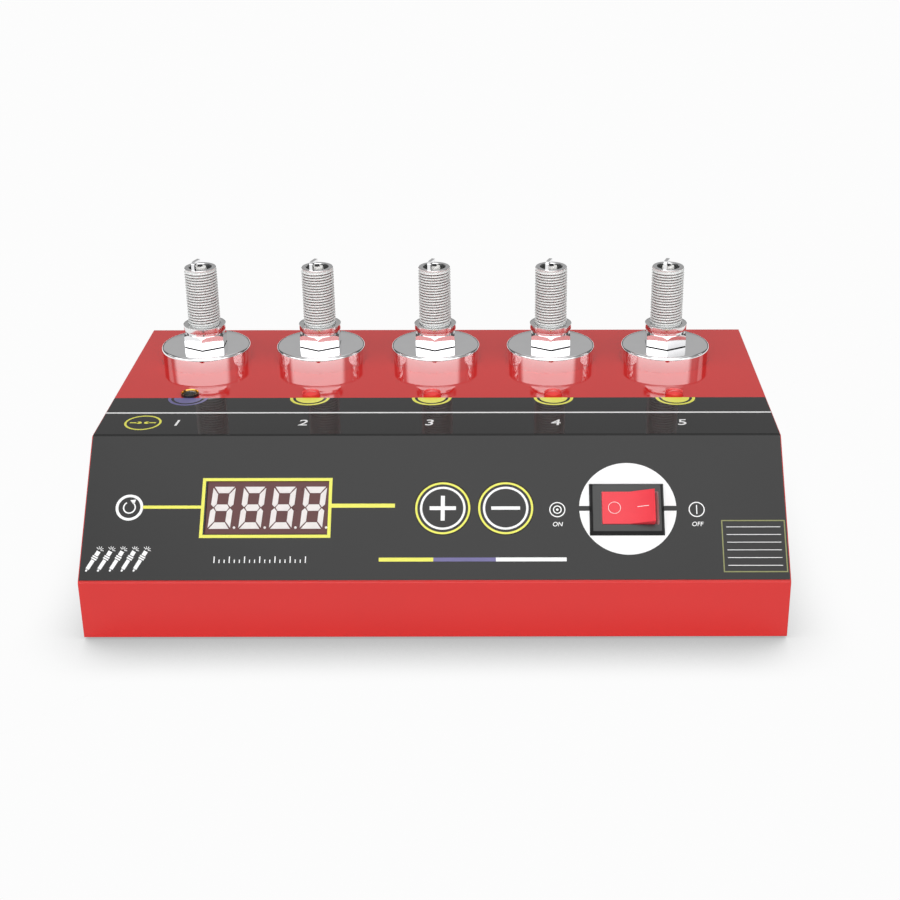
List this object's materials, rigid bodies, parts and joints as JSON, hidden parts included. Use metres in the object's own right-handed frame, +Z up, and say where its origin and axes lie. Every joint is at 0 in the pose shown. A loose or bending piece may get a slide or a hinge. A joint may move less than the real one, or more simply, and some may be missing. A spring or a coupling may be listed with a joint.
{
  "type": "spark plug tester",
  "caption": "Low red console with a sloping control panel and a row of chrome holders, each with a spark plug standing upside down over its own ignition coil, to test plugs at the bench.",
  "frame": {"origin": "middle of the bounding box, on the surface that the feet stand on", "axes": "+X to the right seen from the front, +Y to the back, +Z up"},
  "size_m": [0.28, 0.1764, 0.1165],
  "materials": {
    "red_paint": "smooth gloss enamel",
    "base_paint": "satin powder coat",
    "plated_steel": "zinc plated",
    "foot_rubber": "matte",
    "film": "dark printed film, low gloss",
    "display_face": "tinted, semi-gloss",
    "light_bar": "milky diffuser",
    "circuit_board": "green solder mask",
    "switch_plastic": "fine grain",
    "rocker_plastic": "translucent gloss",
    "contact_metal": "bright",
    "chrome_plate": "polished",
    "nickel_plate": "bright nickel",
    "ceramic": "opaque glazed ceramic",
    "electrode_metal": "nickel alloy",
    "insulating_tube": "brown phenolic",
    "dark_lens": "clear gloss",
    "gilt_bezel": "polished",
    "red_lens": "translucent gloss",
    "red_bezel": "gloss",
    "coil_resin": "cast resin",
    "module_case": "fine grain",
    "cable": "flat cable",
    "lead_cover": "flexible"
  },
  "bodies": {
    "housing": {"top_cover": "red_paint", "base_plate": "base_paint", "case_screws": "plated_steel", "rubber_feet": "foot_rubber", "front_overlay": "film", "top_overlay": "film", "display_module": "display_face", "display_segments": "light_bar", "control_board": "circuit_board", "board_screws": "plated_steel", "tact_switches": "switch_plastic", "switch_housing": "switch_plastic", "switch_terminals": "contact_metal", "holder_nuts": "plated_steel", "socket_insulators": "insulating_tube", "socket_contacts": "contact_metal", "power_lamp": "dark_lens", "power_lamp_bezel": "gilt_bezel", "test_lamps": "red_lens", "test_lamp_bezels": "red_bezel", "lamp_board": "circuit_board", "main_board": "circuit_board", "ignition_coils": "coil_resin", "power_module": "module_case", "control_ribbon": "cable", "mains_leads": "lead_cover", "power_inlet": "module_case", "inlet_blades": "nickel_plate", "plug_holder_1": "chrome_plate", "plug_holder_2": "chrome_plate", "plug_holder_3": "chrome_plate", "plug_holder_4": "chrome_plate", "plug_holder_5": "chrome_plate"},
    "rocker": {"switch_rocker": "rocker_plastic"},
    "plus_button": {"plus_key": "film", "plus_plunger": "switch_plastic"},
    "minus_button": {"minus_key": "film", "minus_plunger": "switch_plastic"},
    "plug_1": {"plug_shell_1": "nickel_plate", "plug_gasket_1": "nickel_plate", "plug_insulator_1": "ceramic", "plug_core_1": "electrode_metal"},
    "plug_2": {"plug_shell_2": "nickel_plate", "plug_gasket_2": "nickel_plate", "plug_insulator_2": "ceramic", "plug_core_2": "electrode_metal"},
    "plug_3": {"plug_shell_3": "nickel_plate", "plug_gasket_3": "nickel_plate", "plug_insulator_3": "ceramic", "plug_core_3": "electrode_metal"},
    "plug_4": {"plug_shell_4": "nickel_plate", "plug_gasket_4": "nickel_plate", "plug_insulator_4": "ceramic", "plug_core_4": "electrode_metal"},
    "plug_5": {"plug_shell_5": "nickel_plate", "plug_gasket_5": "nickel_plate", "plug_insulator_5": "ceramic", "plug_core_5": "electrode_metal"}
  },
  "joints": [
    {"name": "rocker_tilt", "type": "hinge", "parent": "housing", "child": "rocker", "pos_m": [0.0775, -0.06699, 0.04682], "axis": [0, 0.7151, 0.699], "range_deg": [0, 20]},
    {"name": "plus_press", "type": "slide", "parent": "housing", "child": "plus_button", "axis": [0, 0.699, -0.7151], "range_m": [0, 0.0005], "stiffness_N_per_m": 1500},
    {"name": "minus_press", "type": "slide", "parent": "housing", "child": "minus_button", "axis": [0, 0.699, -0.7151], "range_m": [0, 0.0005], "stiffness_N_per_m": 1500},
    {"name": "plug_lift_1", "type": "slide", "parent": "housing", "child": "plug_1", "axis": [0, 0, 1], "range_m": [0, 0.05]},
    {"name": "plug_lift_2", "type": "slide", "parent": "housing", "child": "plug_2", "axis": [0, 0, 1], "range_m": [0, 0.05]},
    {"name": "plug_lift_3", "type": "slide", "parent": "housing", "child": "plug_3", "axis": [0, 0, 1], "range_m": [0, 0.05]},
    {"name": "plug_lift_4", "type": "slide", "parent": "housing", "child": "plug_4", "axis": [0, 0, 1], "range_m": [0, 0.05]},
    {"name": "plug_lift_5", "type": "slide", "parent": "housing", "child": "plug_5", "axis": [0, 0, 1], "range_m": [0, 0.05]}
  ]
}
